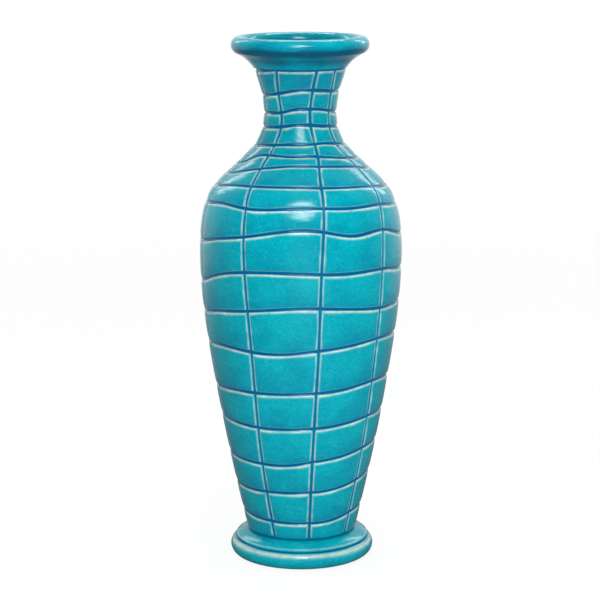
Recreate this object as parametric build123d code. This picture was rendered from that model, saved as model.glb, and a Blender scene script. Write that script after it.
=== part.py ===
from build123d import *
import math
import os

# A tall thrown pottery vase, turquoise glazed over a grid of incised lines, as the sections that
# its potter throws and joins with slip. Millimetres and degrees. It stands on z = 0, about +Z.
# Outlines are drawn as (radius, height) and turned once round the axis.

# Foot: a rolled bead, a floor slab let into it, and a sloping ledge that carries the wall.
BEAD_HEIGHT = 18.6
BEAD_RADIUS = 77.1
BEAD_WIDEST_HEIGHT = 8.4
STANDING_OUTER_RADIUS = 66.0
STANDING_INNER_RADIUS = 56.0
RECESS_HEIGHT = 10.0
RECESS_RADIUS = 46.0
FLOOR_RADIUS = 56.0
LEDGE_RADIUS = 71.4
LEDGE_STEP = 1.4
LEDGE_EDGE_HEIGHT = 3.5
LEDGE_HEIGHT = 9.4
LEDGE_CROWN = 0.9
FLOOR_COIL_SIZE = 7.0

# Wall: the radii and heights that the potter throws to, and the clay's thickness low and high.
WALL_BASE_RADIUS = 58.5
BELLY_RADIUS = 107.7
WAIST_RADIUS = 38.6
BODY_HEIGHT = 422.5
NECK_HEIGHT = 77.0
WALL_THICKNESS_LOW = 9.5
WALL_THICKNESS_HIGH = 7.5

# Curve of the wall, as (share of the height, share of the swelling) in its three stretches.
BODY_RISE = ((0.0, 0.0), (0.19, 0.365), (0.38, 0.672), (0.57, 0.916), (0.72, 1.0))
SHOULDER_FALL = ((0.828, 0.94), (0.877, 0.82), (0.924, 0.556), (0.968, 0.27), (1.0, 0.105))
NECK_FLARE = ((0.38, 0.0), (0.75, 0.061), (1.0, 0.153))

# Mouth: a flaring collar with a thick coil rolled onto its edge.
FLARE_HEIGHT = 15.3
FLARE_RADIUS = 67.9
FLARE_BOW = 1.7
LIP_RADIUS = 72.8
LIP_COIL_RADIUS = 8.6
LIP_CENTRE_HEIGHT = 8.6
LIP_SEAT_DROP = 3.8

# Seams: each wall section has a raised tongue along its top edge that keys the next one.
TONGUE_HEIGHT = 3.0
SECTION_STEPS = 6
UPRIGHT_STEPS = 4

# Incised lines: level rings, at shares of the body's and the neck's height, and uprights.
RING_GROOVE_RADIUS = 1.7
UPRIGHT_WIDTH = 3.4
UPRIGHT_DEPTH = 1.4
BODY_RINGS = (0.05, 0.136, 0.215, 0.307, 0.4, 0.509, 0.607, 0.698, 0.793, 0.858, 0.903,
              0.947, 0.974, 1.0)
NECK_RINGS = (0.24, 0.44, 0.70, 1.0)
UPRIGHT_AZIMUTHS = (-79.0, -32.0, 11.0, 52.0, 97.0, 143.0, 189.0, 236.0)

WALL_BASE = BEAD_HEIGHT + LEDGE_HEIGHT
NECK_BASE = WALL_BASE + BODY_HEIGHT
COLLAR_BASE = NECK_BASE + NECK_HEIGHT
RING_HEIGHTS = [WALL_BASE + share * BODY_HEIGHT for share in BODY_RINGS]
RING_HEIGHTS += [NECK_BASE + share * NECK_HEIGHT for share in NECK_RINGS]


def wall_outline():
    """The wall's outer curve, from the ledge up to the collar."""
    base_swell = BELLY_RADIUS - WALL_BASE_RADIUS
    waist_swell = BELLY_RADIUS - WAIST_RADIUS
    points = [(WALL_BASE_RADIUS + base_swell * swell, WALL_BASE + BODY_HEIGHT * share)
              for share, swell in BODY_RISE]
    points += [(WAIST_RADIUS + waist_swell * swell, WALL_BASE + BODY_HEIGHT * share)
               for share, swell in SHOULDER_FALL]
    points += [(WAIST_RADIUS + waist_swell * swell, NECK_BASE + NECK_HEIGHT * share)
               for share, swell in NECK_FLARE]
    return Spline(points)


OUTLINE = wall_outline()


def share_at(height):
    """How far along the wall's outline a height is reached, from 0 to 1."""
    low, high = 0.0, 1.0
    for _ in range(40):
        middle = (low + high) / 2
        if (OUTLINE @ middle).Y < height:
            low = middle
        else:
            high = middle
    return round((low + high) / 2, 9)


def stretch(low, high, count):
    """Evenly spaced shares of the outline between two heights."""
    start, end = share_at(low), share_at(high)
    return [start + (end - start) * step / count for step in range(count + 1)]


def below_surface(share, depth):
    """The point a depth under the wall's outer surface, square to it."""
    along = OUTLINE % share
    return OUTLINE @ share + Vector(-along.Y, along.X) * depth


def inside(share):
    """The point on the wall's inner surface that faces a point on its outline."""
    thickness = WALL_THICKNESS_LOW + (WALL_THICKNESS_HIGH - WALL_THICKNESS_LOW) * share
    return below_surface(share, thickness)


def seam(outer, inner):
    """The keyed line between two sections, from the outer surface to the inner one."""
    across = inner - outer
    upward = Vector(across.Y, -across.X).normalized() * TONGUE_HEIGHT
    return Polyline(outer, outer + across / 3, outer + across / 2 + upward,
                    outer + across * 2 / 3, inner)


def wall_seam(height):
    """The seam that crosses the wall at a height."""
    share = share_at(height)
    return seam(OUTLINE @ share, inside(share))


def outlined(*lines):
    """The flat section that a closed outline of (radius, height) bounds."""
    return make_face([edge for line in lines for edge in line.edges()])


def turned(*lines):
    """The solid that a closed outline of (radius, height) sweeps round the axis."""
    return revolve(Plane.XZ * outlined(*lines), Axis.Z)


def upright_cuts(low, high):
    """Short fins that cut each upright line between two heights, all of one width."""
    shares = stretch(low, high, UPRIGHT_STEPS)
    deep = Spline([below_surface(share, UPRIGHT_DEPTH) for share in shares])
    proud = Spline([below_surface(share, -UPRIGHT_DEPTH) for share in shares])
    face = outlined(deep, proud, Line(deep @ 0, proud @ 0), Line(deep @ 1, proud @ 1))
    angle = math.degrees(UPRIGHT_WIDTH / (deep @ 0.5).X)
    fin = revolve(Plane.XZ * face, Axis.Z, angle)
    return [Rot(0, 0, azimuth - 90 - angle / 2) * fin for azimuth in UPRIGHT_AZIMUTHS]


def wall_section(low, high):
    """One thrown section of wall between two seam heights, with its lines cut."""
    shares = stretch(low, high, SECTION_STEPS)
    face = outlined(OUTLINE.trim(shares[0], shares[-1]), wall_seam(high),
                    Spline([inside(share) for share in shares]), wall_seam(low))
    for height in RING_HEIGHTS:
        if low - RING_GROOVE_RADIUS < height < high + RING_GROOVE_RADIUS:
            ring = OUTLINE @ share_at(height)
            face -= Pos(ring.X, ring.Y) * Circle(RING_GROOVE_RADIUS)
    section = revolve(Plane.XZ * face, Axis.Z)
    rows = [low] + [height for height in RING_HEIGHTS if low < height < high] + [high]
    for row_low, row_high in zip(rows, rows[1:]):
        section -= upright_cuts(row_low, row_high)
    return section


def foot_ring():
    """The bead that the vase stands on, with a flat face below and a rebate for the floor."""
    stand = Line((STANDING_INNER_RADIUS, 0), (STANDING_OUTER_RADIUS, 0))
    bead = ThreePointArc(stand @ 1, (BEAD_RADIUS, BEAD_WIDEST_HEIGHT), (LEDGE_RADIUS, BEAD_HEIGHT))
    inner = Polyline(bead @ 1, (FLOOR_RADIUS, BEAD_HEIGHT), (FLOOR_RADIUS, RECESS_HEIGHT),
                     (RECESS_RADIUS, RECESS_HEIGHT), stand @ 0)
    return turned(stand, bead, inner)


def base_slab():
    """The floor of the vase, a disc that fills the foot ring's rebate."""
    thickness = BEAD_HEIGHT - RECESS_HEIGHT
    align = (Align.CENTER, Align.CENTER, Align.MIN)
    return Pos(0, 0, RECESS_HEIGHT) * Cylinder(FLOOR_RADIUS, thickness, align=align)


def foot_ledge():
    """The stepped ledge on the bead and the floor's edge, keyed to the wall above."""
    outer_corner = (LEDGE_RADIUS - LEDGE_STEP, BEAD_HEIGHT)
    edge_top = (LEDGE_RADIUS - LEDGE_STEP, BEAD_HEIGHT + LEDGE_EDGE_HEIGHT)
    edge = ThreePointArc(outer_corner, (LEDGE_RADIUS, BEAD_HEIGHT + LEDGE_EDGE_HEIGHT / 2), edge_top)
    wall_foot = OUTLINE @ 0
    halfway = (edge @ 1 + wall_foot) / 2 + Vector(0, LEDGE_CROWN)
    slope = ThreePointArc(edge @ 1, halfway, wall_foot)
    inner_top = inside(0)
    inner = Polyline(inner_top, (inner_top.X, BEAD_HEIGHT), outer_corner)
    return turned(edge, slope, wall_seam(WALL_BASE), inner)


def floor_coil():
    """The thin coil pressed into the corner where the ledge meets the floor, inside."""
    radius = inside(0).X
    corner = Vector(radius, BEAD_HEIGHT)
    upper = corner + Vector(0, FLOOR_COIL_SIZE)
    lower = corner - Vector(FLOOR_COIL_SIZE, 0)
    hollow = RadiusArc(upper, lower, FLOOR_COIL_SIZE)
    return turned(Line(lower, corner), Line(corner, upper), hollow)


def flare_end():
    """Where the flare's outer surface meets the lip coil."""
    return Vector(FLARE_RADIUS, COLLAR_BASE + FLARE_HEIGHT)


def lip_centre():
    """The centre of the lip coil's section."""
    height = COLLAR_BASE + FLARE_HEIGHT + LIP_CENTRE_HEIGHT
    return Vector(LIP_RADIUS - LIP_COIL_RADIUS, height)


def lip_seat():
    """Where the flare's inner surface meets the lip coil."""
    inward = (LIP_COIL_RADIUS ** 2 - LIP_SEAT_DROP ** 2) ** 0.5
    return lip_centre() - Vector(inward, LIP_SEAT_DROP)


def mouth_flare():
    """The collar that flares from the neck to the lip, bowed inward outside."""
    foot, end = OUTLINE @ 1, flare_end()
    chord = end - foot
    bow = Vector(-chord.Y, chord.X).normalized() * FLARE_BOW
    outer = ThreePointArc(foot, (foot + end) / 2 + bow, end)
    inner_middle = (inside(1) + lip_seat()) / 2 + bow
    inner = ThreePointArc(lip_seat(), inner_middle, inside(1))
    return turned(outer, seam(end, lip_seat()), inner, wall_seam(COLLAR_BASE))


def lip_roll():
    """The thick rounded coil round the mouth."""
    end, seat, centre = flare_end(), lip_seat(), lip_centre()
    widest = centre + Vector(LIP_COIL_RADIUS, 0)
    under = TangentArc(widest, end, tangent=(0, -1))
    crown = ThreePointArc(widest, centre + Vector(0, LIP_COIL_RADIUS), seat)
    return turned(under, crown, seam(end, seat))


def walls():
    """Each wall section by name, cut along the ring lines that hide its seams."""
    seams = (WALL_BASE, RING_HEIGHTS[3], RING_HEIGHTS[6], RING_HEIGHTS[9], NECK_BASE, COLLAR_BASE)
    names = ("lower_wall", "middle_wall", "upper_wall", "shoulder_wall", "neck_wall")
    for name, low, high in zip(names, seams, seams[1:]):
        yield name, wall_section(low, high)


def main():
    """Build every piece and write one file for each."""
    pieces = {"foot_ring": foot_ring(), "base_slab": base_slab(), "foot_ledge": foot_ledge(),
              "floor_coil": floor_coil(), "mouth_flare": mouth_flare(), "lip_roll": lip_roll()}
    pieces.update(walls())
    os.makedirs("parts", exist_ok=True)
    for name, piece in pieces.items():
        export_step(piece, f"parts/{name}.step")


main()
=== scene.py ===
import math

import bpy
import numpy as np
from mathutils import Matrix, Vector


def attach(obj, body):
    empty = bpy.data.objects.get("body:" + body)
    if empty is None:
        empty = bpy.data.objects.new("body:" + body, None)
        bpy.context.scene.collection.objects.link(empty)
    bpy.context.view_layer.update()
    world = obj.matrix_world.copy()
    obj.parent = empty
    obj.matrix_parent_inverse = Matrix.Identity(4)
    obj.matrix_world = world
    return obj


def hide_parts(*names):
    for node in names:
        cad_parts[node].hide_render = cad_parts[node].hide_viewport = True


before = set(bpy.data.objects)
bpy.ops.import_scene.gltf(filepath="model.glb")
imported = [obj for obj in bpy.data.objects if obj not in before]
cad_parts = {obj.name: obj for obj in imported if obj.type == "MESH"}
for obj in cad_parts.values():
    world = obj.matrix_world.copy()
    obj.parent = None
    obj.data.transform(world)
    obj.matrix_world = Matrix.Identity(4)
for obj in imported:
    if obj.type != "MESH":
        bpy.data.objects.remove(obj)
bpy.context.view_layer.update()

# The looks of the tall turquoise vase. Each CAD node is replaced by a piece of its own, with the
# hand-drawn lines cut as real grooves and pillowed cells between them, under a glaze that is blue
# in the lines and thins to cream beside them. Metres; azimuth 0 is the front, at -Y, and azimuth
# grows towards +X.

MM = 0.001

# ---------------------------------------------------------------- sizes shared with the CAD nodes
WALL_BASE = 0.028
BODY_HEIGHT = 0.4225
NECK_HEIGHT = 0.077
NECK_BASE = WALL_BASE + BODY_HEIGHT
COLLAR_BASE = NECK_BASE + NECK_HEIGHT
WALL_BASE_RADIUS = 0.0585
BELLY_RADIUS = 0.1077
WAIST_RADIUS = 0.0386
WALL_THICKNESS_LOW = 0.0095
WALL_THICKNESS_HIGH = 0.0075
TONGUE_HEIGHT = 0.003

BEAD_HEIGHT = 0.0186
BEAD_WIDEST = (0.0771, 0.0084)
STANDING_OUTER = (0.066, 0.0)
STANDING_INNER = (0.056, 0.0)
RECESS = (0.046, 0.010)
FLOOR_RADIUS = 0.056
LEDGE_RADIUS = 0.0714
LEDGE_STEP = 0.0014
LEDGE_EDGE_HEIGHT = 0.0035
LEDGE_CROWN = 0.0009
FLOOR_COIL_SIZE = 0.007
FLARE_END = (0.0679, 0.5428)
FLARE_BOW = 0.0017
LIP_CENTRE = (0.0642, 0.5514)
LIP_COIL_RADIUS = 0.0086
LIP_SEAT_DROP = 0.0038

# Curve of the wall, as (share of the height, share of the swelling) in its three stretches.
BODY_RISE = ((0.0, 0.0), (0.19, 0.365), (0.38, 0.672), (0.57, 0.916), (0.72, 1.0))
SHOULDER_FALL = ((0.828, 0.94), (0.877, 0.82), (0.924, 0.556), (0.968, 0.27), (1.0, 0.105))
NECK_FLARE = ((0.38, 0.0), (0.75, 0.061), (1.0, 0.153))

# ---------------------------------------------------------------- the hand-drawn lines
# Rings, lowest first, as shares of the body's and the neck's height. Each ring wanders: its lift
# in millimetres at each of the azimuths in RING_STATIONS. A scratch program measured the first
# eight lifts of each ring on the photo, to 0.5 mm, and two of the top ring's were then corrected
# by hand; the last four of each, at the back, are guessed.
BODY_RINGS = (0.05, 0.136, 0.215, 0.307, 0.4, 0.509, 0.607, 0.698, 0.793, 0.858, 0.903,
              0.947, 0.974, 1.0)
NECK_RINGS = (0.24, 0.44, 0.70, 1.0)
RING_STATIONS = (-79, -55, -32, -10, 11, 31, 52, 75, 120, 165, 210, 245)
RING_LIFTS = (
    (1.5, 0.5, -0.5, -1, -1, 0.5, 4.5, 6.5, 1, -2, -1, 0),
    (-3.5, -3.5, -2.5, -1.5, -1, 1, 5, 8.5, 3, -1, 2, -2),
    (-3, -3.5, -4, -3, 1, 4, 8, 10, 3, -2, -4, -1),
    (0, -0.5, -1.5, -1, 0, 2.5, 5.5, 5.5, 0, -3, 1, 2),
    (-7, -3, -2, -1, 0, 2.5, 5.5, 4, -3, 2, 4, -4),
    (-4.5, -1.5, -3, -3, 0.5, 3.5, 6, 4.5, -2, -5, 0, 3),
    (-12.5, -5.5, -0.5, 4, 4.5, 1.5, -2, -2.5, 0, 4, -2, -8),
    (-18, -5.5, 2, 3.5, 2, 1, 1, -4.5, -3, 3, 2, -9),
    (-15, -7.5, -1, 6, 6, -0.5, 2, -7.5, -2, 3, -4, -6),
    (-2, 1.5, -0.5, 1, 1.5, 0, 0, -3.5, -1, 2, -1, 1),
    (-3.5, 0.5, 2, 2.5, 2, 1, -0.5, -4, -1, 1, 0, -2),
    (-9.5, -4, 0.5, 3, 3, 2, 0, -4, -1, 1, -1, -3),
    (-11, -1.5, 1, 0.5, 1, -0.5, -3, -5, -1, 1, 0, -2),
    (-3.5, -1.5, 0, 1, 1, 1.5, 0, -2, 0, -1, 1, -1),
    (-3.5, -2, -0.5, 1.5, 1.5, 0.5, -1, -3, 0, 1, -1, -2),
    (-4, -2.5, -1.5, 2, 2.5, 2, -0.5, -3, -1, 1, 0, -2),
    (-6, -4, -1.5, 1.5, 2, 1.5, 0, -1, 1, -1, 0, -3),
    (-3, -1.5, 0, 0, 0, 0, 0, 0, 0, 0, -0.5, -1.5),
)
# Uprights: the azimuth of each, in degrees, at the heights in UPRIGHT_STATIONS, in metres. The
# second to fourth were measured in the same way, the first was given, the rest are guessed.
UPRIGHT_STATIONS = (0.028, 0.130, 0.245, 0.346, 0.397, 0.423, 0.449, 0.471, 0.497, 0.525)
UPRIGHTS = (
    (-76, -76, -76, -77, -77, -77, -75, -74, -73, -73),
    (-30, -32.5, -31.5, -33.5, -35.5, -38, -36.5, -31, -34, -31),
    (7.5, 8.5, 10.5, 12, 14, 16, 20, 16, 17, 21),
    (52, 54, 52.5, 53, 57.5, 61, 55.5, 51, 52.5, 49),
    (97, 98, 96, 95, 97, 99, 100, 97, 99, 96),
    (143, 141, 143, 145, 146, 144, 142, 145, 143, 146),
    (190, 189, 187, 188, 190, 193, 191, 188, 190, 189),
    (234, 236, 235, 233, 234, 236, 238, 236, 234, 237),
)
GROOVE_DEPTH = 1.9 * MM
RING_HALF_WIDTH = 1.5 * MM
UPRIGHT_HALF_WIDTH = 1.35 * MM
WIDTH_UNEVENNESS = 0.16
CROSSING_SOFTNESS = 0.28
PILLOW_DROP = 0.7 * MM
PILLOW_REACH = 3.2 * MM
PILLOW_SOFTNESS = 1.6 * MM
CELL_WAVE = 0.25 * MM
THROWING_RIDGE = 0.35 * MM
THROWING_PITCH = 8 * MM

# Where a groove's wall and its blue glaze end, and where cream glaze begins, in half widths of
# the line from its middle.
GROOVE_WALL = (0.35, 1.45)
BLUE_EDGE = (0.55, 1.45)
CREAM_START = (0.9, 1.7)
BLUE_IN_UPRIGHTS = 0.7
# Bands of cream glaze as (width, soft edge, strength): along the top of a cell, its foot and sides.
TOP_BAND = (1.5 * MM, 1.6 * MM, 1.0)
FOOT_BAND = (0.4 * MM, 0.5 * MM, 0.4)
SIDE_BAND = (1.1 * MM, 1.2 * MM, 0.9)
CREAM_CLEAR_OF_BASE = (2.5 * MM, 6 * MM)
# Painted shade under the collar's overhang: how far it reaches down the wall, and how strong it is.
COLLAR_SHADE = 55 * MM
COLLAR_SHADE_STRENGTH = 1.1

# Places on the turned pieces, as (radius, height), where the glaze is thin or missing, and where
# shade is painted under the lip and on the flare.
BEAD_CROWN = (0.0748, 0.0155)
BARE_STANDING = (0.060, 0.0)
BARE_RECESS = (0.051, 0.005)
SHADE_UNDER_LIP = (FLARE_END[0] + 3.6 * MM, FLARE_END[1] + 2.2 * MM)
SHADE_ON_FLARE = (FLARE_END[0] - 6 * MM, FLARE_END[1] - 10 * MM)
MARK_UNEVENNESS = 0.25
# The lip wavers by this share of its radius, from this far above its seam.
LIP_WOBBLE = 0.003
WOBBLE_CLEAR_OF_SEAM = (5 * MM, 9 * MM)
# The visual floor disc is turned about a hole this small.
PINHOLE = 0.5 * MM

# A distance in metres that stands for no line at all, and one too small to tell from none.
NO_LINE = 1.0
TOUCHING = 1e-7

# ---------------------------------------------------------------- mesh density and texture layout
EDGE_OFFSETS = np.array([0, 0.45, 0.9, 1.35, 1.8, 2.3, 2.9, 3.7, 4.8, 6.4]) * MM
CELL_COLUMNS = 12
CELL_ROW_PITCH = 4.0 * MM
PITCH_AZIMUTH = 11.0             # where the rows of a band are counted, in degrees
GRID_ROUNDS = 9                  # enough for rows and columns to follow each other's lines
INSIDE_ROWS = 36
INSIDE_POOL = 0.8
LATHE_COLUMNS = 192
SHARP_ANGLE = 50

UV_MARGIN = 0.01
UV_WIDTH = 0.98
UV_STRIP_HEIGHT = 0.41
UV_STRIP_PITCH = 0.43
UV_REST_START = 0.88
UV_REST_HEIGHT = 0.11


def cubic_through(points):
    """A natural cubic spline through points, by chord length: returns places for an array t."""
    points = np.array(points, float)
    steps = np.linalg.norm(np.diff(points, axis=0), axis=1)
    knots = np.concatenate([[0], np.cumsum(steps)])
    count = len(points)
    system = np.eye(count)
    wanted = np.zeros_like(points)
    for i in range(1, count - 1):
        system[i, i - 1:i + 2] = steps[i - 1], 2 * (steps[i - 1] + steps[i]), steps[i]
        slopes = np.diff(points[i - 1:i + 2], axis=0) / steps[i - 1:i + 1, None]
        wanted[i] = 6 * (slopes[1] - slopes[0])
    bends = np.linalg.solve(system, wanted)

    def place(t):
        t = np.clip(np.asarray(t, float), 0, knots[-1])
        i = np.clip(np.searchsorted(knots, t, side="right") - 1, 0, count - 2)
        span = steps[i][..., None]
        near = ((t - knots[i])[..., None]) / span
        far = 1 - near
        bend = (near ** 3 - near) * bends[i + 1] + (far ** 3 - far) * bends[i]
        return near * points[i + 1] + far * points[i] + bend * span ** 2 / 6

    return place, knots[-1]


def wall_stations():
    """The (radius, height) points that the wall's outline passes through."""
    base_swell = BELLY_RADIUS - WALL_BASE_RADIUS
    waist_swell = BELLY_RADIUS - WAIST_RADIUS
    points = [(WALL_BASE_RADIUS + base_swell * swell, WALL_BASE + BODY_HEIGHT * share)
              for share, swell in BODY_RISE]
    points += [(WAIST_RADIUS + waist_swell * swell, WALL_BASE + BODY_HEIGHT * share)
               for share, swell in SHOULDER_FALL]
    points += [(WAIST_RADIUS + waist_swell * swell, NECK_BASE + NECK_HEIGHT * share)
               for share, swell in NECK_FLARE]
    return points


class Outline:
    """The wall's outline as fine tables of radius, height and outward normal by arc length."""

    def __init__(self):
        place, length = cubic_through(wall_stations())
        fine = place(np.linspace(0, length, 4001))
        pieces = np.linalg.norm(np.diff(fine, axis=0), axis=1)
        self.arc = np.concatenate([[0], np.cumsum(pieces)])
        self.fine = fine
        along = np.gradient(fine, self.arc, axis=0)
        along /= np.linalg.norm(along, axis=1)[:, None]
        self.normal = np.stack([along[:, 1], -along[:, 0]], axis=1)
        self.length = self.arc[-1]

    def radius(self, s):
        return np.interp(s, self.arc, self.fine[:, 0])

    def height(self, s):
        return np.interp(s, self.arc, self.fine[:, 1])

    def facing(self, s):
        return np.stack([np.interp(s, self.arc, self.normal[:, i]) for i in (0, 1)], axis=-1)

    def arc_at(self, height):
        return np.interp(height, self.fine[:, 1], self.arc)

    def thickness(self, s):
        share = s / self.length
        return WALL_THICKNESS_LOW + (WALL_THICKNESS_HIGH - WALL_THICKNESS_LOW) * share


OUTLINE = Outline()


def round_curve(stations, values):
    """A smooth closed curve through values at azimuth stations, in degrees."""
    stations = np.array(stations, float)
    around = np.concatenate([stations - 360, stations, stations + 360])
    place, length = cubic_through(np.stack([around, np.tile(values, 3)], axis=1))
    fine = place(np.linspace(0, length, 6001))
    reach = np.linspace(-180, 360, 2161)
    table = np.interp(reach, fine[:, 0], fine[:, 1])
    return lambda azimuth: np.interp((np.asarray(azimuth) + 180) % 360 - 180, reach, table)


def ring_curves():
    """For each ring, the arc length along the outline at an azimuth, base and collar included."""
    heights = [WALL_BASE + share * BODY_HEIGHT for share in BODY_RINGS]
    heights += [NECK_BASE + share * NECK_HEIGHT for share in NECK_RINGS]
    curves = [lambda azimuth: np.zeros_like(azimuth)]
    for height, lifts in zip(heights, RING_LIFTS):
        lift = round_curve(RING_STATIONS, np.array(lifts) * MM)
        curves.append(lambda azimuth, h=height, lift=lift: OUTLINE.arc_at(h + lift(azimuth)))
    return curves


def upright_curves():
    """For each upright, its azimuth in degrees at a height; the first again a turn later."""
    curves = []
    heights_in_mm = np.array(UPRIGHT_STATIONS) * 1000
    for azimuths in UPRIGHTS + (tuple(a + 360 for a in UPRIGHTS[0]),):
        place, length = cubic_through(np.stack([heights_in_mm, azimuths], axis=1))
        fine = place(np.linspace(0, length, 1501))
        curves.append(lambda z, fine=fine: np.interp(z * 1000, fine[:, 0], fine[:, 1]))
    return curves


RINGS = ring_curves()
UPRIGHT_LINES = upright_curves()


def banded(low, high, scale, share, edge, side):
    """A place between two lines: an edge offset from one of them, or a share between edges."""
    gap = (high - low) * scale
    squeeze = np.minimum(1.0, 0.44 * gap / EDGE_OFFSETS[-1])
    offset = edge * squeeze / scale
    reach = EDGE_OFFSETS[-1] * squeeze / scale
    between = low + reach + (high - low - 2 * reach) * share
    return np.where(side < 0, low + offset, np.where(side > 0, high - offset, between))


def band_marks(inner_count, last):
    """(share, edge offset, side) of each grid line in one band between two grooves."""
    marks = [(0.0, edge, -1) for edge in EDGE_OFFSETS]
    marks += [((i + 1) / (inner_count + 1), 0.0, 0) for i in range(inner_count)]
    marks += [(0.0, edge, 1) for edge in EDGE_OFFSETS[:0:-1]]
    if last:
        marks.append((0.0, 0.0, 1))
    return marks


def wall_grid(first, last):
    """Azimuths in degrees and arc lengths of a grid whose lines follow the grooves."""
    rows = []
    front = np.array([PITCH_AZIMUTH])
    for band in range(first, last):
        gap = float((RINGS[band + 1](front) - RINGS[band](front))[0])
        inner_count = max(1, round((gap - 2 * EDGE_OFFSETS[-1]) / CELL_ROW_PITCH))
        rows += [(band,) + mark for mark in band_marks(inner_count, band == last - 1)]
    columns = []
    for cell in range(len(UPRIGHTS)):
        columns += [(cell,) + mark for mark in band_marks(CELL_COLUMNS, False)]
    rows, columns = np.array(rows), np.array(columns)
    azimuth = np.zeros((len(rows), len(columns)))
    arc = np.zeros_like(azimuth)
    for _ in range(GRID_ROUNDS):
        for i, (band, share, edge, side) in enumerate(rows):
            low, high = RINGS[int(band)](azimuth[i]), RINGS[int(band) + 1](azimuth[i])
            arc[i] = banded(low, high, 1.0, share, edge, side)
        height = OUTLINE.height(arc)
        scale = OUTLINE.radius(arc) * math.radians(1)
        for j, (cell, share, edge, side) in enumerate(columns):
            low = UPRIGHT_LINES[int(cell)](height[:, j])
            high = UPRIGHT_LINES[int(cell) + 1](height[:, j])
            azimuth[:, j] = banded(low, high, scale[:, j], share, edge, side)
    return azimuth, arc


def line_distances(azimuth, arc):
    """Distances in metres up to the ring above, down to the ring below, and to an upright."""
    below = np.full(azimuth.shape, NO_LINE)
    above = np.full(azimuth.shape, NO_LINE)
    for ring in RINGS:
        step = arc - ring(azimuth)
        below = np.where(step >= -TOUCHING, np.minimum(below, np.abs(step)), below)
        above = np.where(step <= TOUCHING, np.minimum(above, np.abs(step)), above)
    height = OUTLINE.height(arc)
    scale = OUTLINE.radius(arc) * math.radians(1)
    aside = np.full(azimuth.shape, NO_LINE)
    for upright in UPRIGHT_LINES:
        turn = (azimuth - upright(height) + 180) % 360 - 180
        aside = np.minimum(aside, np.abs(turn) * scale)
    return above, below, aside


def soft_min(distances, softness):
    """The least of several distances, rounded where two are alike."""
    total = sum(np.exp(-d / softness) for d in distances)
    return -softness * np.log(np.maximum(total, 1e-30))


def rise(x, low, high):
    """Smoothly 0 below low and 1 above high."""
    t = np.clip((x - low) / (high - low), 0, 1)
    return t * t * (3 - 2 * t)


def waver(azimuth, arc, seed, scale):
    """A slow, smooth, repeatable unevenness, mostly between -1 and 1, over a surface."""
    draw = np.random.default_rng(seed)
    total = np.zeros(azimuth.shape)
    for _ in range(6):
        turns = draw.integers(1, 5) * scale
        rate = draw.uniform(20, 70) * scale
        phase = draw.uniform(0, 2 * math.pi)
        total += np.sin(np.radians(azimuth) * turns + arc * rate + phase)
    return total / 4


def edge_band(distance, half, width, fade):
    """A band of thin glaze beside a groove, from its shoulder out."""
    start = 1.15 * half
    begun = rise(distance, 0.8 * half, start)
    ended = rise(distance, start + width - fade, start + width + fade)
    return begun * (1 - ended)


def cream_glaze(azimuth, arc, lines, halves):
    """How far the glaze thins to cream beside the lines: most along the top of each cell."""
    above, below, aside = lines
    ring_half, upright_half = halves
    patchy = 1 + 0.35 * waver(azimuth, arc, 8, 5)
    uneven_sides = 0.72 + 0.28 * waver(azimuth, arc, 9, 6)
    top = edge_band(above, ring_half, TOP_BAND[0] * patchy, TOP_BAND[1])
    foot = edge_band(below, ring_half, *FOOT_BAND[:2])
    side = edge_band(aside, upright_half, SIDE_BAND[0] * patchy, SIDE_BAND[1]) * uneven_sides
    return np.maximum(np.maximum(TOP_BAND[2] * top, FOOT_BAND[2] * foot), SIDE_BAND[2] * side)


def pooled_glaze_and_shade(arc, above, below):
    """How deep the glaze lies: most at the foot of each cell, plus painted shade just under the
    collar.
    """
    cell = np.maximum(above + below, 1e-6)
    share_up = np.where(above < NO_LINE / 2, below, cell) / cell
    painted_collar_shade = rise(arc, OUTLINE.length - COLLAR_SHADE, OUTLINE.length)
    return np.maximum(1 - np.clip(share_up, 0, 1), COLLAR_SHADE_STRENGTH * painted_collar_shade)


def carved(azimuth, arc):
    """How far the surface stands off the outline, and the glaze's three measures there."""
    above, below, aside = line_distances(azimuth, arc)
    uneven = 1 + WIDTH_UNEVENNESS * waver(azimuth, arc, 3, 3)
    ring_half = RING_HALF_WIDTH * uneven
    upright_half = UPRIGHT_HALF_WIDTH * uneven
    from_lines = (above / ring_half, below / ring_half, aside / upright_half)
    nearest = np.maximum(soft_min(from_lines, CROSSING_SOFTNESS), 0)

    wall = rise(nearest, *GROOVE_WALL)
    rounded = soft_min((above, below, aside), PILLOW_SOFTNESS)
    pillow = np.exp(-np.maximum(rounded - ring_half, 0) / PILLOW_REACH)
    offset = -GROOVE_DEPTH * (1 - wall) - PILLOW_DROP * pillow * wall
    offset += CELL_WAVE * waver(azimuth, arc, 5, 1) * wall

    in_ring = 1 - rise(np.minimum(above, below) / ring_half, *BLUE_EDGE)
    in_line = 1 - rise(nearest, *BLUE_EDGE)
    groove = np.maximum(in_ring, BLUE_IN_UPRIGHTS * in_line)
    halo = cream_glaze(azimuth, arc, (above, below, aside), (ring_half, upright_half))
    halo *= rise(nearest, *CREAM_START)
    halo *= rise(arc, *CREAM_CLEAR_OF_BASE)
    return offset, groove, halo, pooled_glaze_and_shade(arc, above, below)


def seam_ring(outer, inner):
    """The keyed seam's loops between an outer and an inner loop, with a raised tongue."""
    across = inner - outer
    side = np.cross(across, np.roll(outer, -1, axis=0) - outer)
    side /= np.linalg.norm(side, axis=1)[:, None]
    side *= np.where(side[:, 2:] < 0, -1, 1)
    tongue = outer + across / 2 + side * TONGUE_HEIGHT
    return [outer + across / 3, tongue, outer + across * 2 / 3]


def to_space(azimuth, radius, height):
    """Points in the CAD frame from azimuth in degrees, radius and height."""
    turn = np.radians(azimuth)
    return np.stack([radius * np.sin(turn), -radius * np.cos(turn), height], axis=-1)


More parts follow.
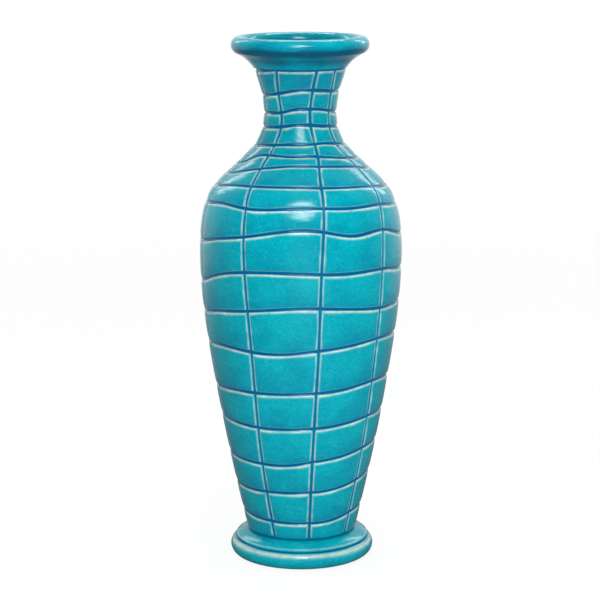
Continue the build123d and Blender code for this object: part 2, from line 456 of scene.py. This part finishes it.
def grid_piece(name, loops, glaze, outer_rows, material):
    """A closed piece from loops of points, each joined to the next and the last to the first."""
    rows, columns = len(loops), len(loops[0])
    points = np.concatenate(loops)
    here = np.arange(rows * columns).reshape(rows, columns)
    right = np.roll(here, -1, axis=1)
    corners = [here, right, np.roll(right, -1, axis=0), np.roll(here, -1, axis=0)]
    quads = np.stack(corners, axis=-1).reshape(-1, 4)
    mesh = bpy.data.meshes.new(name)
    mesh.from_pydata(points.tolist(), [], quads.tolist())
    for label, values in glaze.items():
        layer = mesh.attributes.new(label, "FLOAT", "POINT")
        layer.data.foreach_set("value", np.ascontiguousarray(values.ravel(), dtype=np.float32))
    add_uv(mesh, rows, columns, outer_rows, points.reshape(rows, columns, 3))
    mesh.shade_smooth()
    mesh.set_sharp_from_angle(angle=math.radians(SHARP_ANGLE))
    mesh.materials.append(material)
    piece = bpy.data.objects.new(name, mesh)
    bpy.context.scene.collection.objects.link(piece)
    return piece


def add_uv(mesh, rows, columns, outer_rows, points):
    """A cylindrical layout: the outer rows in two half-turn strips, then the rest in one."""
    steps = np.linalg.norm(np.diff(np.concatenate([points, points[:1]]), axis=0), axis=2)
    reach = np.concatenate([[0], np.cumsum(steps.mean(axis=1))])
    outer_end = reach[outer_rows]
    half = columns // 2
    row = np.repeat(np.arange(rows), columns)
    column = np.tile(np.arange(columns), rows)
    outside = row < outer_rows
    strip = column // half
    uv = np.zeros((rows * columns, 4, 2))
    for corner, (across, up) in enumerate(((0, 0), (1, 0), (1, 1), (0, 1))):
        v = reach[row + up]
        half_turn = (column - strip * half + across) / half
        whole_turn = (column + across) / columns
        outer_v = UV_MARGIN + UV_STRIP_HEIGHT * v / outer_end + UV_STRIP_PITCH * strip
        rest_v = UV_REST_START + UV_REST_HEIGHT * (v - outer_end) / (reach[-1] - outer_end)
        uv[:, corner, 0] = UV_MARGIN + UV_WIDTH * np.where(outside, half_turn, whole_turn)
        uv[:, corner, 1] = np.where(outside, outer_v, rest_v)
    layer = mesh.uv_layers.new(name="OFBake")
    layer.data.foreach_set("uv", uv.astype(np.float32).ravel())


def settle(piece, node):
    """The piece rides on the vase's one body and stands for its CAD node."""
    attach(piece, "root")
    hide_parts(node)
    return piece


def off_outline(azimuth, arc, offset):
    """Points that stand off the outline by an offset, outward where it is positive."""
    facing = OUTLINE.facing(arc)
    radius = OUTLINE.radius(arc) + offset * facing[..., 0]
    height = OUTLINE.height(arc) + offset * facing[..., 1]
    return to_space(azimuth, radius, height)


def inner_surface(azimuth, arc):
    """The inside of a section with its throwing rings, as loops from its top down."""
    shares = np.linspace(1, 0, INSIDE_ROWS)[:, None]
    azimuth = azimuth[-1:] * shares + azimuth[:1] * (1 - shares)
    arc = arc[:1] + (arc[-1:] - arc[:1]) * shares
    ridges = THROWING_RIDGE * np.sin(arc / THROWING_PITCH * 2 * math.pi + np.radians(azimuth))
    deep = OUTLINE.thickness(arc) + ridges * np.sin(math.pi * shares)
    return off_outline(azimuth, arc, -deep)


def wall_piece(name, first, last, material):
    """One section of wall between two rings: carved outside, thrown rings inside."""
    azimuth, arc = wall_grid(first, last)
    offset, groove, halo, pool_and_shade = carved(azimuth, arc)
    outer = off_outline(azimuth, arc, offset)
    inner = inner_surface(azimuth, arc)
    top = seam_ring(outer[-1], inner[0])
    bottom = seam_ring(outer[0], inner[-1])[::-1]
    loops = list(outer) + top + list(inner) + bottom
    unseen = (len(loops) - len(outer), outer.shape[1])
    glaze = {"groove": np.concatenate([groove, np.zeros(unseen)]),
             "halo": np.concatenate([halo, np.zeros(unseen)]),
             "pool_and_shade": np.concatenate([pool_and_shade, np.full(unseen, INSIDE_POOL)])}
    return settle(grid_piece(name, loops, glaze, len(outer) - 1, material), name)


# ---------------------------------------------------------------- turned pieces
def arc_through(start, middle, end, count):
    """Points from start to end on the circle through three (radius, height) points."""
    a, b, c = (complex(*point) for point in (start, middle, end))
    shape = (c - a) / (b - a)
    centre = a - (a - b) * (shape - abs(shape) ** 2) / (2j * shape.imag)
    turn = np.angle((c - centre) / (a - centre))
    half_way = centre + (a - centre) * np.exp(0.5j * turn)
    if abs(half_way - b) > abs(half_way - (2 * centre - b)):
        turn -= math.copysign(2 * math.pi, turn)
    points = centre + (a - centre) * np.exp(1j * turn * np.linspace(0, 1, count))
    return np.stack([points.real, points.imag], axis=1)


def straight(start, end, count):
    """Points from start to end in a straight line."""
    return np.linspace(start, end, count)


def keyed(outer, inner):
    """The keyed seam from an outer to an inner (radius, height) point, its ends left out."""
    outer, inner = np.array(outer), np.array(inner)
    across = inner - outer
    upward = np.array([across[1], -across[0]])
    upward *= TONGUE_HEIGHT / np.linalg.norm(upward)
    return np.array([outer + across / 3, outer + across / 2 + upward, outer + across * 2 / 3])


def turned_piece(name, outline, material, marks=(), wobble=0.0, pool_and_shade=0.4):
    """A closed piece turned from an outline of (radius, height) that runs once round it.

    Each mark is (glaze measure, radius, height, width, strength): a soft band of that measure
    along the circle at that radius and height.
    """
    outline = np.array(outline)
    around = np.linspace(0, 360, LATHE_COLUMNS, endpoint=False)
    azimuth = np.tile(around, (len(outline), 1))
    radius = np.repeat(outline[:, :1], LATHE_COLUMNS, axis=1)
    height = np.repeat(outline[:, 1:], LATHE_COLUMNS, axis=1)
    above_seam = rise(height - height.min(), *WOBBLE_CLEAR_OF_SEAM)
    uneven = wobble * waver(azimuth, height, 11, 1) * above_seam
    loops = to_space(azimuth, radius * (1 + uneven), height)
    glaze = {measure: np.zeros(radius.shape) for measure in ("groove", "halo", "bare")}
    glaze["pool_and_shade"] = np.full(radius.shape, pool_and_shade)
    uneven_width = 1 + MARK_UNEVENNESS * waver(azimuth, height, 7, 2)
    for measure, at_radius, at_height, width, strength in marks:
        away = np.hypot(radius - at_radius, height - at_height)
        soft = strength * np.exp(-(away / (width * uneven_width)) ** 2)
        glaze[measure] = np.maximum(glaze[measure], soft)
    piece = grid_piece(name, list(loops), glaze, len(outline) * 2 // 3, material)
    return settle(piece, name)


def foot_ring(material):
    """The bead that the vase stands on, cream on its crown and bare clay underneath."""
    top = (LEDGE_RADIUS, BEAD_HEIGHT)
    rebate_top = (FLOOR_RADIUS, BEAD_HEIGHT)
    rebate_foot = (FLOOR_RADIUS, RECESS[1])
    outline = [arc_through(STANDING_OUTER, BEAD_WIDEST, top, 40),
               straight(top, rebate_top, 10)[1:],
               straight(rebate_top, rebate_foot, 6)[1:],
               straight(rebate_foot, RECESS, 6)[1:],
               straight(RECESS, STANDING_INNER, 8)[1:],
               straight(STANDING_INNER, STANDING_OUTER, 8)[1:-1]]
    marks = (("groove", *top, 1.4 * MM, 1.0),
             ("halo", *BEAD_CROWN, 2.2 * MM, 0.75),
             ("bare", *BARE_STANDING, 6.5 * MM, 2.0),
             ("bare", *BARE_RECESS, 6.0 * MM, 2.0))
    return turned_piece("foot_ring", np.concatenate(outline), material, marks, pool_and_shade=0.1)


def foot_ledge(material):
    """The sloping ledge on the bead, with a line of thin glaze along its edge."""
    low = (LEDGE_RADIUS - LEDGE_STEP, BEAD_HEIGHT)
    high = (low[0], BEAD_HEIGHT + LEDGE_EDGE_HEIGHT)
    widest = (LEDGE_RADIUS, BEAD_HEIGHT + LEDGE_EDGE_HEIGHT / 2)
    wall = (WALL_BASE_RADIUS, WALL_BASE)
    crown = ((high[0] + wall[0]) / 2, (high[1] + wall[1]) / 2 + LEDGE_CROWN)
    inner_top = inner_point(0)
    inner_foot = (inner_top[0], BEAD_HEIGHT)
    outline = [arc_through(low, widest, high, 12),
               arc_through(high, crown, wall, 24)[1:],
               keyed(wall, inner_top),
               straight(inner_top, inner_foot, 8),
               straight(inner_foot, low, 10)[1:-1]]
    marks = (("groove", *low, 1.3 * MM, 1.0),
             ("halo", high[0] + 0.3 * MM, high[1] - 0.3 * MM, 0.8 * MM, 0.35),
             ("groove", *wall, 0.9 * MM, 0.5))
    return turned_piece("foot_ledge", np.concatenate(outline), material, marks, pool_and_shade=0.2)


def base_slab(material):
    """The floor disc let into the foot ring's rebate."""
    low, high = RECESS[1], BEAD_HEIGHT
    outline = [straight((PINHOLE, low), (FLOOR_RADIUS, low), 24),
               straight((FLOOR_RADIUS, low), (FLOOR_RADIUS, high), 5)[1:],
               straight((FLOOR_RADIUS, high), (PINHOLE, high), 24)[1:]]
    return turned_piece("base_slab", np.concatenate(outline), material)


def floor_coil(material):
    """The thin coil pressed into the corner of the floor and the ledge, inside."""
    radius = inner_point(0)[0]
    lower = (radius - FLOOR_COIL_SIZE, BEAD_HEIGHT)
    corner = (radius, BEAD_HEIGHT)
    upper = (radius, BEAD_HEIGHT + FLOOR_COIL_SIZE)
    sag = FLOOR_COIL_SIZE * (1 - math.sqrt(0.5))
    middle = (radius - sag, BEAD_HEIGHT + sag)
    outline = [straight(lower, corner, 6), straight(corner, upper, 6)[1:],
               arc_through(upper, middle, lower, 14)[1:-1]]
    return turned_piece("floor_coil", np.concatenate(outline), material)


def inner_point(s):
    """The (radius, height) on the wall's inner surface that faces arc length s."""
    s = np.array(float(s))
    facing = OUTLINE.facing(s)
    deep = OUTLINE.thickness(s)
    radius = OUTLINE.radius(s) - deep * facing[0]
    height = OUTLINE.height(s) - deep * facing[1]
    return float(radius), float(height)


def lip_seat():
    """Where the flare's inner surface meets the lip coil."""
    inward = math.sqrt(LIP_COIL_RADIUS ** 2 - LIP_SEAT_DROP ** 2)
    return (LIP_CENTRE[0] - inward, LIP_CENTRE[1] - LIP_SEAT_DROP)


def mouth_flare(material):
    """The collar that flares from the neck to the lip."""
    foot = (float(OUTLINE.radius(OUTLINE.length)), COLLAR_BASE)
    chord = np.subtract(FLARE_END, foot)
    bow = np.array([-chord[1], chord[0]]) / np.hypot(*chord) * FLARE_BOW
    seat, inner = lip_seat(), inner_point(OUTLINE.length)
    outer_middle = np.add(foot, FLARE_END) / 2 + bow
    inner_middle = np.add(inner, seat) / 2 + bow
    outline = [arc_through(foot, outer_middle, FLARE_END, 32),
               keyed(FLARE_END, seat),
               arc_through(seat, inner_middle, inner, 28),
               keyed(foot, inner)[::-1]]
    marks = (("groove", *foot, 1.6 * MM, 0.9),
             # These two marks paint shade: dark under the lip, fading down the flare's outside.
             ("pool_and_shade", *SHADE_UNDER_LIP, 12 * MM, 2.4),
             ("pool_and_shade", *SHADE_ON_FLARE, 13 * MM, 1.9))
    return turned_piece("mouth_flare", np.concatenate(outline), material, marks, pool_and_shade=0.3)


def lip_roll(material):
    """The thick rounded coil round the mouth."""
    widest = (LIP_CENTRE[0] + LIP_COIL_RADIUS, LIP_CENTRE[1])
    fall = (widest[0] - FLARE_END[0], widest[1] - FLARE_END[1])
    under_radius = (fall[0] ** 2 + fall[1] ** 2) / (2 * fall[0])
    sweep = np.linspace(math.asin(fall[1] / under_radius), 0, 16)[:, None]
    under = np.hstack([widest[0] - under_radius * (1 - np.cos(sweep)),
                       widest[1] - under_radius * np.sin(sweep)])
    seat = lip_seat()
    top = (LIP_CENTRE[0], LIP_CENTRE[1] + LIP_COIL_RADIUS)
    outline = [under, arc_through(widest, top, seat, 48)[1:], keyed(FLARE_END, seat)[::-1]]
    # Painted shade on the underside of the lip, running into the flare's.
    marks = (("pool_and_shade", *SHADE_UNDER_LIP, 8.5 * MM, 2.0),)
    return turned_piece("lip_roll", np.concatenate(outline), material, marks, LIP_WOBBLE, 0.6)


# ---------------------------------------------------------------- materials
def srgb(red, green, blue):
    """A linear colour from sRGB values out of 255."""
    def linear(value):
        share = value / 255
        return share / 12.92 if share <= 0.04045 else ((share + 0.055) / 1.055) ** 2.4
    return (linear(red), linear(green), linear(blue), 1.0)


class Nodes:
    """A short way to add and join shader nodes."""

    def __init__(self, tree):
        self.tree = tree
        tree.nodes.clear()

    def add(self, kind, **settings):
        node = self.tree.nodes.new(kind)
        for key, value in settings.items():
            setattr(node, key, value)
        return node

    def join(self, source, target):
        self.tree.links.new(source, target)

    def noise(self, coordinate, scale, detail=3.0, roughness=0.55):
        node = self.add("ShaderNodeTexNoise")
        node.inputs["Scale"].default_value = scale
        node.inputs["Detail"].default_value = detail
        node.inputs["Roughness"].default_value = roughness
        self.join(coordinate, node.inputs["Vector"])
        return node.outputs["Fac"]

    def mapped(self, coordinate, setting, values):
        node = self.add("ShaderNodeMapping")
        node.inputs[setting].default_value = values
        self.join(coordinate, node.inputs["Vector"])
        return node.outputs["Vector"]

    def span(self, value, low, high, to_low=0.0, to_high=1.0):
        node = self.add("ShaderNodeMapRange", clamp=True)
        node.inputs["From Min"].default_value = low
        node.inputs["From Max"].default_value = high
        node.inputs["To Min"].default_value = to_low
        node.inputs["To Max"].default_value = to_high
        self.join(value, node.inputs["Value"])
        return node.outputs["Result"]

    def math(self, operation, first, second):
        node = self.add("ShaderNodeMath", operation=operation)
        for socket, value in zip(node.inputs, (first, second)):
            if isinstance(value, (int, float)):
                socket.default_value = value
            else:
                self.join(value, socket)
        return node.outputs["Value"]

    def mix(self, factor, first, second):
        node = self.add("ShaderNodeMix", data_type="RGBA")
        self.join(factor, node.inputs["Factor"])
        for name, value in (("A", first), ("B", second)):
            socket = [s for s in node.inputs if s.name == name and s.type == "RGBA"][0]
            if isinstance(value, tuple):
                socket.default_value = value
            else:
                self.join(value, socket)
        return [s for s in node.outputs if s.type == "RGBA"][0]

    def blend(self, factor, first, second):
        node = self.add("ShaderNodeMixShader")
        for socket, source in zip(node.inputs, (factor, first, second)):
            self.join(source, socket)
        return node.outputs["Shader"]

    def attribute(self, name):
        return self.add("ShaderNodeAttribute", attribute_name=name).outputs["Fac"]

    def bump(self, height, distance, strength, normal=None):
        node = self.add("ShaderNodeBump")
        node.inputs["Strength"].default_value = strength
        node.inputs["Distance"].default_value = distance
        self.join(height, node.inputs["Height"])
        if normal is not None:
            self.join(normal, node.inputs["Normal"])
        return node.outputs["Normal"]


LIGHT_GLAZE = srgb(0, 157, 170)
DEEP_AND_SHADED_GLAZE = srgb(0, 127, 152)
# The darkest teal is painted shade, under the lip and down the flare.
PAINTED_SHADE_GLAZE = srgb(0, 80, 108)
CREAM_GLAZE = srgb(220, 226, 204)
BLUE_GLAZE = srgb(0, 90, 138)
CLAY = srgb(206, 176, 142)
DARK_CLAY = srgb(172, 138, 104)
CLAY_SPECK = srgb(120, 92, 66)

# Tints over the glaze, in order: a texture, where in it the tint begins and is full, the tint's
# strength there and its colour.
GLAZE_TINTS = (
    ("brushed", 0.5, 0.72, 0.25, srgb(24, 168, 178)),
    ("scratched", 0.6, 0.75, 0.22, srgb(70, 178, 184)),
    ("fine", 0.5, 0.72, 0.45, srgb(0, 118, 146)),
    ("fine", 0.46, 0.3, 0.16, srgb(90, 186, 188)),
)
# Bumps in the glaze, coarse ones first: a texture, its depth in metres and its strength.
GLAZE_BUMPS = (
    ("broad", 0.0016, 0.35),
    ("brushed", 0.0006, 0.7),
    ("scratched", 0.0003, 0.5),
    ("fine", 0.00012, 0.5),
    ("speck", 0.00004, 0.4),
)


def blank_material(name):
    """A material without nodes: the material, a way to add its nodes, and its surface input."""
    material = bpy.data.materials.new(name)
    material.use_nodes = True
    n = Nodes(material.node_tree)
    output = n.add("ShaderNodeOutputMaterial")
    return material, n, output.inputs["Surface"]


def clay_colour(n, place):
    """Buff clay, mottled, with darker specks."""
    mottled = n.mix(n.noise(place, 60, 4), CLAY, DARK_CLAY)
    speckled = n.span(n.noise(place, 900, 3), 0.55, 0.75, 0.0, 0.6)
    return n.mix(speckled, mottled, CLAY_SPECK)


def glaze_textures(n, place):
    """The unevenness of the glaze, from broad clouds down to specks."""
    brush_strokes = n.mapped(place, "Scale", (60, 60, 240))
    slanted = n.mapped(place, "Rotation", (0.5, 0.7, 0.4))
    scratches = n.mapped(slanted, "Scale", (900, 60, 60))
    return {"broad": n.noise(place, 38, 4),
            "brushed": n.noise(brush_strokes, 1.0, 4),
            "scratched": n.noise(scratches, 1.0, 3, 0.6),
            "fine": n.noise(place, 420, 4, 0.65),
            "speck": n.noise(place, 1500, 2, 0.6)}


def glaze_colour(n, place, textures):
    """Mottled turquoise, deeper where glaze pools and where shade is painted, cream beside lines,
    blue in them.
    """
    pool_and_shade = n.math("POWER", n.attribute("pool_and_shade"), 2.2)
    from_pool_and_shade = n.span(pool_and_shade, 0.0, 1.0, 0.0, 0.75)
    depth_and_shade = n.math("ADD", from_pool_and_shade, n.span(textures["broad"], 0.35, 0.7, -0.15, 0.5))
    colour = n.mix(n.span(depth_and_shade, 0.0, 1.0), LIGHT_GLAZE, DEEP_AND_SHADED_GLAZE)
    for texture, begin, full, strength, tint in GLAZE_TINTS:
        colour = n.mix(n.span(textures[texture], begin, full, 0.0, strength), colour, tint)
    # Painted shade: the darkest teal where the shade marks under the lip and on the flare run deep.
    colour = n.mix(n.span(pool_and_shade, 1.2, 3.6), colour, PAINTED_SHADE_GLAZE)
    worn = n.span(n.noise(place, 170, 3), 0.25, 0.6, 0.5, 1.0)
    halo = n.math("MULTIPLY", n.attribute("halo"), worn)
    colour = n.mix(n.span(halo, 0.0, 1.0, 0.0, 0.88), colour, CREAM_GLAZE)
    return n.mix(n.span(n.attribute("groove"), 0.1, 0.9), colour, BLUE_GLAZE)


def glaze_material():
    """Glossy turquoise glaze, rippled and pitted, with matt bare clay where the part is bare."""
    material, n, surface = blank_material("turquoise_glaze")
    shader = n.add("ShaderNodeBsdfPrincipled")
    place = n.add("ShaderNodeTexCoord").outputs["Object"]
    textures = glaze_textures(n, place)
    bare = n.span(n.attribute("bare"), 0.4, 0.6)
    colour = n.mix(bare, glaze_colour(n, place, textures), clay_colour(n, place))
    roughness = n.math("ADD", n.span(textures["fine"], 0.3, 0.75, 0.07, 0.16),
                       n.math("MULTIPLY", bare, 0.6))
    normal = None
    for texture, depth, strength in GLAZE_BUMPS:
        normal = n.bump(textures[texture], depth, strength, normal)
    shader.inputs["IOR"].default_value = 1.5
    shader.inputs["Specular IOR Level"].default_value = 0.32
    n.join(colour, shader.inputs["Base Color"])
    n.join(roughness, shader.inputs["Roughness"])
    n.join(normal, shader.inputs["Normal"])
    n.join(shader.outputs["BSDF"], surface)
    return material


def clay_material():
    """Bare buff clay, matt and grainy."""
    material, n, surface = blank_material("buff_clay")
    shader = n.add("ShaderNodeBsdfPrincipled")
    place = n.add("ShaderNodeTexCoord").outputs["Object"]
    grain = n.noise(place, 1200, 4, 0.6)
    n.join(clay_colour(n, place), shader.inputs["Base Color"])
    n.join(n.span(grain, 0.3, 0.7, 0.68, 0.85), shader.inputs["Roughness"])
    n.join(n.bump(grain, 0.0002, 0.6), shader.inputs["Normal"])
    n.join(shader.outputs["BSDF"], surface)
    return material


# ---------------------------------------------------------------- stage, lights and camera
STAGE_RADIUS = 2.6
STAGE_CORNERS = 64
STAGE_FADE = (0.5, 2.5)
STAGE_GLOW = 0.9
PALE = (0.93, 0.93, 0.93, 1)
PALE_GREY = (0.90, 0.90, 0.90, 1)
DIM_BOUNCE = (0.14, 0.15, 0.155, 1)
WHITE = (1, 1, 1, 1)
ROOM_IN_FRONT = (0.04, 0.045, 0.05, 1)
ROOM_BEHIND = (0.88, 0.98, 1, 1)

# Each softbox: its place, the height on the vase's axis that it faces, its size, its power, and
# whether it shines in the glaze and whether it fills the shade.
SOFTBOXES = (
    ("key_shine", (0.08, -1.95, 1.85), 0.35, (0.85, 1.1), 52, True, False),
    ("top_shine", (0.08, 1.2, 2.2), 0.55, (1.3, 0.4), 16, True, False),
    ("key_fill", (0.3, -1.65, 2.2), 0.3, (1.0, 2.2), 25, False, True),
    ("top_fill", (0.05, -0.2, 2.4), 0.3, (1.2, 1.2), 27, False, True),
    ("front_fill", (0.2, -2.3, 0.1), 0.15, (1.6, 0.8), 50, False, True),
    ("low_fill", (0.1, -0.6, 0.12), 0.04, (0.5, 0.12), 0.95, False, True),
    ("left_fill", (-1.7, -0.1, 0.5), 0.28, (0.5, 1.0), 7, False, True),
    ("right_fill", (1.7, -0.1, 0.5), 0.28, (0.5, 1.0), 5, False, True),
    ("left_rim", (-1.3, 1.45, 1.5), 0.35, (0.35, 1.0), 5, True, True),
    ("right_rim", (1.3, 1.45, 1.4), 0.35, (0.35, 1.0), 5, True, True),
)
CAMERA_PLACE = (-0.001, -2.2, 0.708)
CAMERA_AIM = (-0.001, 0, 0.2786)
CAMERA_LENS = 125.55
CAMERA_ROLL = -0.2


def floor_material():
    """White to the camera but dim to other rays, and fading out towards its edge."""
    material, n, surface = blank_material("pale_floor")
    seen = n.add("ShaderNodeLightPath").outputs["Is Camera Ray"]
    place = n.add("ShaderNodeTexCoord").outputs["Object"]
    away = n.add("ShaderNodeVectorMath", operation="LENGTH")
    n.join(place, away.inputs[0])

    matt = n.add("ShaderNodeBsdfPrincipled")
    pale = n.mix(n.span(n.noise(place, 30, 3), 0.3, 0.7), PALE_GREY, PALE)
    n.join(n.mix(seen, DIM_BOUNCE, pale), matt.inputs["Base Color"])
    matt.inputs["Roughness"].default_value = 0.8
    matt.inputs["Specular IOR Level"].default_value = 0.1

    glow = n.add("ShaderNodeEmission")
    lit = n.blend(n.math("MULTIPLY", seen, STAGE_GLOW), matt.outputs["BSDF"],
                  glow.outputs["Emission"])
    clear = n.add("ShaderNodeBsdfTransparent")
    faded = n.blend(n.span(away.outputs["Value"], *STAGE_FADE), lit, clear.outputs["BSDF"])
    n.join(faded, surface)
    return material


def stage():
    """A round, pale floor under the vase that fades into the white surroundings."""
    mesh = bpy.data.meshes.new("floor")
    turns = np.linspace(0, 2 * math.pi, STAGE_CORNERS, endpoint=False)
    rim = [(STAGE_RADIUS * math.cos(turn), STAGE_RADIUS * math.sin(turn), 0) for turn in turns]
    mesh.from_pydata(rim, [], [list(range(STAGE_CORNERS))])
    mesh.materials.append(floor_material())
    floor = bpy.data.objects.new("floor", mesh)
    bpy.context.scene.collection.objects.link(floor)


def softbox(name, place, aim_height, size, power, shines, fills):
    """A rectangular area light that faces the vase's axis and that the camera doesn't see."""
    light = bpy.data.lights.new(name, "AREA")
    light.shape = "RECTANGLE"
    light.size, light.size_y = size
    light.energy = power
    lamp = bpy.data.objects.new(name, light)
    lamp.location = place
    facing = Vector((0, 0, aim_height)) - Vector(place)
    lamp.rotation_euler = facing.to_track_quat("-Z", "Y").to_euler()
    lamp.visible_glossy = shines
    lamp.visible_diffuse = fills
    lamp.visible_camera = False
    bpy.context.scene.collection.objects.link(lamp)


def surroundings():
    """A room that is white to the camera, dark in front of the vase and bright behind it."""
    world = bpy.data.worlds.new("studio")
    bpy.context.scene.world = world
    world.use_nodes = True
    n = Nodes(world.node_tree)
    output = n.add("ShaderNodeOutputWorld")
    parts = n.add("ShaderNodeSeparateXYZ")
    n.join(n.add("ShaderNodeTexCoord").outputs["Generated"], parts.inputs["Vector"])
    behind = n.span(parts.outputs["Y"], 0.0, 0.65)
    room = n.add("ShaderNodeBackground")
    n.join(n.mix(behind, ROOM_IN_FRONT, ROOM_BEHIND), room.inputs["Color"])
    backdrop = n.add("ShaderNodeBackground")
    backdrop.inputs["Color"].default_value = WHITE
    seen = n.add("ShaderNodeLightPath").outputs["Is Camera Ray"]
    both = n.blend(seen, room.outputs["Background"], backdrop.outputs["Background"])
    n.join(both, output.inputs["Surface"])


def camera():
    """A long lens a little above the lip's height, aimed at the middle of the vase."""
    data = bpy.data.cameras.new("camera")
    data.lens = CAMERA_LENS
    data.sensor_width = 36
    viewer = bpy.data.objects.new("camera", data)
    facing = Vector(CAMERA_AIM) - Vector(CAMERA_PLACE)
    turn = facing.to_track_quat("-Z", "Y").to_matrix().to_4x4()
    roll = Matrix.Rotation(math.radians(CAMERA_ROLL), 4, "Z")
    viewer.matrix_world = Matrix.Translation(CAMERA_PLACE) @ turn @ roll
    bpy.context.scene.collection.objects.link(viewer)
    bpy.context.scene.camera = viewer
    bpy.context.scene.view_settings.view_transform = "Standard"


# Sections of wall, from one ring to another; ring 0 is the wall's foot.
WALL_SECTIONS = (
    ("lower_wall", 0, 4),
    ("middle_wall", 4, 7),
    ("upper_wall", 7, 10),
    ("shoulder_wall", 10, 14),
    ("neck_wall", 14, 18),
)

camera()
stage()
for box in SOFTBOXES:
    softbox(*box)
surroundings()
GLAZE = glaze_material()
for section in WALL_SECTIONS:
    wall_piece(*section, GLAZE)
foot_ring(GLAZE)
foot_ledge(GLAZE)
base_slab(clay_material())
floor_coil(GLAZE)
mouth_flare(GLAZE)
lip_roll(GLAZE)
